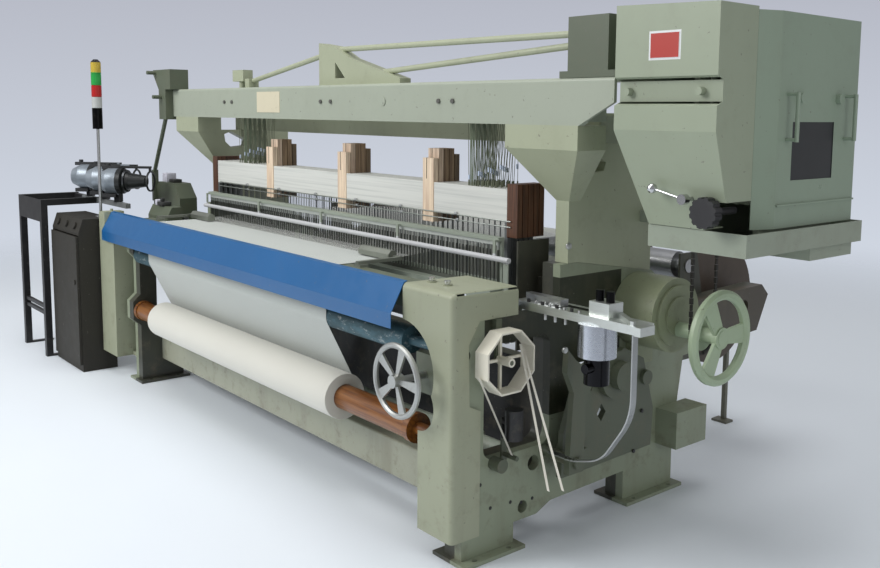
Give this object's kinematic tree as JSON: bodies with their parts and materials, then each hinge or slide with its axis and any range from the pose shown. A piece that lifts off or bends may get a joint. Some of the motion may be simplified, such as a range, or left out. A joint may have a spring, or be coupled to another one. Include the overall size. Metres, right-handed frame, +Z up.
{
  "type": "power loom",
  "caption": "Wide dobby rapier weaving loom with heald frames, reed and sley, cloth roll, warp beam, control cabinet and weft feeders.",
  "frame": {"origin": "middle of the floor area that the loom, its cabinet and its feeder stand take up, at floor level", "axes": "+X along the loom's width to the weaver's right, +Y from the weaver's side to the warp beam, +Z up"},
  "size_m": [5.295, 2.41, 1.975],
  "materials": {
    "paint_green": "satin grey-green machine enamel",
    "paint_blue": "glossy blue enamel",
    "paint_brown": "brown-grey enamel",
    "paint_black": "black enamel",
    "steel": "machined and worn",
    "dark_steel": "oiled dark steel",
    "aluminium": "drawn profile",
    "silver_cast": "silver painted casting",
    "varnished_wood": "varnished tube",
    "roller_cover": "worn teal covering",
    "woven": "plain grey cloth",
    "yarn": "warp threads",
    "black_plastic": "moulded",
    "white_plastic": "moulded",
    "red_plastic": "moulded",
    "lamp_plastic": "coloured lamp lenses",
    "tape_plastic": "perforated tape"
  },
  "bodies": {
    "loom_frame": {"right_side_frame": "paint_green", "left_side_frame": "paint_green", "front_cross_beam": "paint_green", "rear_supports": "paint_green", "right_arch": "paint_green", "left_arch": "paint_green", "top_beam_front": "paint_green", "top_beam_rear": "paint_green", "stay_bars": "paint_green", "breast_beam": "paint_green", "right_front_cover": "paint_green", "left_front_cover": "paint_green", "take_up_gear_case": "paint_green", "clutch_drum": "paint_green", "right_drive_case": "paint_green", "left_drive_case": "paint_green", "dobby_front_cover": "paint_green", "dobby_side_cover": "paint_green", "dobby_base": "paint_green", "dobby_gearbox": "paint_green", "breast_cover": "paint_blue", "control_cabinet": "paint_brown", "signal_pole": "steel", "temples": "steel", "signal_lamps": "lamp_plastic", "feeder_stand": "paint_black", "weft_feeders": "black_plastic", "woven_cloth": "woven", "selvedge_strips": "woven", "rapier_drive_hub": "silver_cast", "dobby_chain": "dark_steel", "warp_sheet": "yarn", "right_guide_rail": "aluminium", "rapier_tape": "tape_plastic"},
    "main_shaft": {"main_shaft": "paint_green"},
    "dobby_shaft": {"dobby_sprocket": "dark_steel"},
    "take_up_handwheel": {"take_up_handwheel": "silver_cast"},
    "take_up_roller": {"take_up_roller": "roller_cover"},
    "cloth_beam": {"cloth_beam": "varnished_wood", "cloth_roll": "woven"},
    "warp_beam": {"warp_beam": "yarn"},
    "back_rest": {"back_rest": "steel"},
    "sley": {"sley": "paint_green", "reed": "steel"},
    "heald_frame_1": {"heald_frame_1": "aluminium"},
    "heald_frame_2": {"heald_frame_2": "aluminium"},
    "heald_frame_3": {"heald_frame_3": "aluminium"},
    "heald_frame_4": {"heald_frame_4": "aluminium"},
    "heald_frame_5": {"heald_frame_5": "aluminium"},
    "right_rapier": {"right_rapier_head": "steel"},
    "left_rapier": {"left_rapier_head": "steel"},
    "cabinet_door": {"cabinet_door": "paint_brown"},
    "dobby_hand_knob": {"dobby_hand_knob": "black_plastic"},
    "dobby_lever": {"dobby_lever": "steel"},
    "start_button": {"start_button": "red_plastic"},
    "stop_button": {"stop_button": "black_plastic"},
    "feeder_disc_1": {"feeder_disc_1": "steel"},
    "feeder_disc_2": {"feeder_disc_2": "steel"},
    "feeder_disc_3": {"feeder_disc_3": "steel"},
    "selvedge_reel": {"selvedge_reel": "white_plastic"}
  },
  "joints": [
    {"name": "main_shaft_turn", "type": "hinge", "parent": "loom_frame", "child": "main_shaft", "pos_m": [0.2525, -0.005, 0.776], "axis": [1, 0, 0], "continuous": true},
    {"name": "dobby_shaft_turn", "type": "hinge", "parent": "loom_frame", "child": "dobby_shaft", "pos_m": [0.2525, -0.005, 1.36], "axis": [1, 0, 0], "continuous": true},
    {"name": "cloth_beam_turn", "type": "hinge", "parent": "loom_frame", "child": "cloth_beam", "pos_m": [0.2525, -0.93, 0.438], "axis": [1, 0, 0], "continuous": true},
    {"name": "take_up_roller_turn", "type": "hinge", "parent": "loom_frame", "child": "take_up_roller", "pos_m": [0.2525, -0.925, 0.77], "axis": [1, 0, 0], "continuous": true},
    {"name": "take_up_handwheel_turn", "type": "hinge", "parent": "loom_frame", "child": "take_up_handwheel", "pos_m": [1.5815, -1.075, 0.661], "axis": [0, 1, 0], "continuous": true},
    {"name": "warp_beam_turn", "type": "hinge", "parent": "loom_frame", "child": "warp_beam", "pos_m": [0.2525, 0.785, 0.73], "axis": [1, 0, 0], "continuous": true},
    {"name": "back_rest_turn", "type": "hinge", "parent": "loom_frame", "child": "back_rest", "pos_m": [0.2525, 0.455, 0.945], "axis": [1, 0, 0], "continuous": true},
    {"name": "sley_swing", "type": "hinge", "parent": "loom_frame", "child": "sley", "pos_m": [0.2525, -0.585, 0.3], "axis": [-1, 0, 0], "range_deg": [-6.4, 0]},
    {"name": "heald_frame_1_lift", "type": "slide", "parent": "loom_frame", "child": "heald_frame_1", "axis": [0, 0, 1], "range_m": [-0.045, 0.045]},
    {"name": "heald_frame_2_lift", "type": "slide", "parent": "loom_frame", "child": "heald_frame_2", "axis": [0, 0, 1], "range_m": [-0.045, 0.045]},
    {"name": "heald_frame_3_lift", "type": "slide", "parent": "loom_frame", "child": "heald_frame_3", "axis": [0, 0, 1], "range_m": [-0.045, 0.045]},
    {"name": "heald_frame_4_lift", "type": "slide", "parent": "loom_frame", "child": "heald_frame_4", "axis": [0, 0, 1], "range_m": [-0.045, 0.045]},
    {"name": "heald_frame_5_lift", "type": "slide", "parent": "loom_frame", "child": "heald_frame_5", "axis": [0, 0, 1], "range_m": [-0.045, 0.045]},
    {"name": "right_rapier_slide", "type": "slide", "parent": "loom_frame", "child": "right_rapier", "axis": [-1, 0, 0], "range_m": [0, 1.45]},
    {"name": "left_rapier_slide", "type": "slide", "parent": "loom_frame", "child": "left_rapier", "axis": [1, 0, 0], "range_m": [0, 1.45]},
    {"name": "cabinet_door_hinge", "type": "hinge", "parent": "loom_frame", "child": "cabinet_door", "pos_m": [-2.1115, -1.15, 0], "axis": [0, 0, 1], "range_deg": [-100, 0]},
    {"name": "dobby_hand_knob_turn", "type": "hinge", "parent": "loom_frame", "child": "dobby_hand_knob", "pos_m": [2.5155, -0.575, 1.318], "axis": [0, 1, 0], "continuous": true},
    {"name": "dobby_lever_swing", "type": "hinge", "parent": "loom_frame", "child": "dobby_lever", "pos_m": [2.4425, -0.577, 1.356], "axis": [0, 1, 0], "range_deg": [-25, 25]},
    {"name": "start_button_press", "type": "slide", "parent": "loom_frame", "child": "start_button", "axis": [0, 0, -1], "range_m": [0, 0.004], "stiffness_N_per_m": 500, "springref_m": -0.001},
    {"name": "stop_button_press", "type": "slide", "parent": "loom_frame", "child": "stop_button", "axis": [0, 0, -1], "range_m": [0, 0.004], "stiffness_N_per_m": 500, "springref_m": -0.001},
    {"name": "feeder_disc_1_turn", "type": "hinge", "parent": "loom_frame", "child": "feeder_disc_1", "pos_m": [-2.2675, -0.79, 1.165], "axis": [0.7071, 0.7071, 0], "continuous": true},
    {"name": "feeder_disc_2_turn", "type": "hinge", "parent": "loom_frame", "child": "feeder_disc_2", "pos_m": [-1.9775, -0.79, 1.165], "axis": [0.7071, 0.7071, 0], "continuous": true},
    {"name": "feeder_disc_3_turn", "type": "hinge", "parent": "loom_frame", "child": "feeder_disc_3", "pos_m": [-1.7475, -0.79, 1.165], "axis": [0.7071, 0.7071, 0], "continuous": true},
    {"name": "selvedge_reel_turn", "type": "hinge", "parent": "loom_frame", "child": "selvedge_reel", "pos_m": [1.8485, -0.79, 0.742], "axis": [1, 0, 0], "continuous": true}
  ],
  "couplings": [
    {"joint": "dobby_shaft_turn", "follows": "main_shaft_turn", "ratio": 1},
    {"joint": "take_up_roller_turn", "follows": "cloth_beam_turn", "ratio": -1.8846},
    {"joint": "take_up_handwheel_turn", "follows": "cloth_beam_turn", "ratio": 7.5385}
  ]
}
